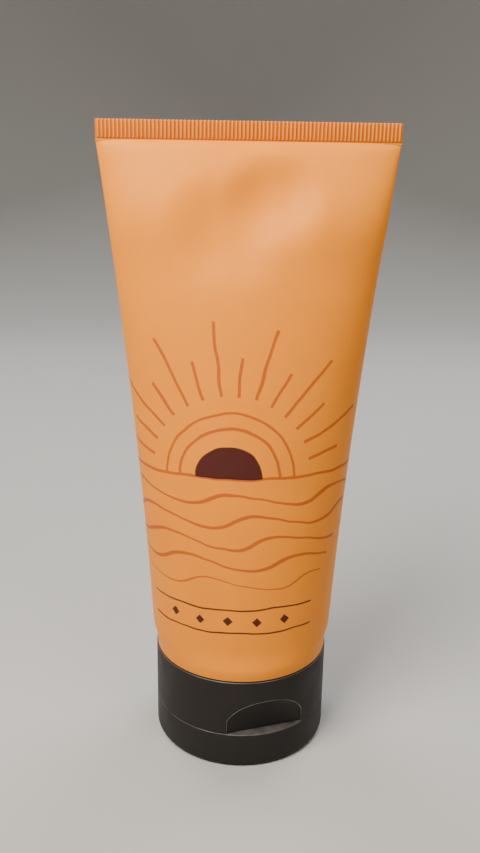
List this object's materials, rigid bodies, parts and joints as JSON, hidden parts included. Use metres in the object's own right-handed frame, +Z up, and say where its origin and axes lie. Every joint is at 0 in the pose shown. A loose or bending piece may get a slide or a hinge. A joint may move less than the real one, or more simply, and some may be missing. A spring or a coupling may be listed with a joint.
{
  "type": "squeeze tube with flip-top cap",
  "caption": "Plastic squeeze tube with a flat ribbed end seal, standing upside down on a flip-top cap with a thumb recess.",
  "frame": {"origin": "centre of the flat face of the closed lid, which the tube stands on", "axes": "+Z up towards the end seal, X along the end seal, -Y towards the front"},
  "size_m": [0.0786, 0.0506, 0.176],
  "materials": {
    "sleeve_plastic": "satin orange polyethylene",
    "head_plastic": "natural polyethylene",
    "lotion": "creamy lotion",
    "cap_plastic": "matte charcoal polypropylene"
  },
  "bodies": {
    "tube": {"tube_sleeve": "sleeve_plastic", "tube_head": "head_plastic", "lotion": "lotion"},
    "cap": {"cap_base": "cap_plastic", "hinge_film": "cap_plastic", "hinge_straps": "cap_plastic"},
    "lid": {"flip_lid": "cap_plastic"}
  },
  "joints": [
    {"name": "cap_swivel", "type": "hinge", "parent": "tube", "child": "cap", "pos_m": [0, 0, 0.0277], "axis": [0, 0, 1], "continuous": true},
    {"name": "lid_flip", "type": "hinge", "parent": "cap", "child": "lid", "pos_m": [-0.0066, 0.02463, 0.0109], "axis": [0.9659, 0.2588, 0], "range_deg": [0, 170], "deforming": ["hinge_film", "hinge_straps"]}
  ]
}
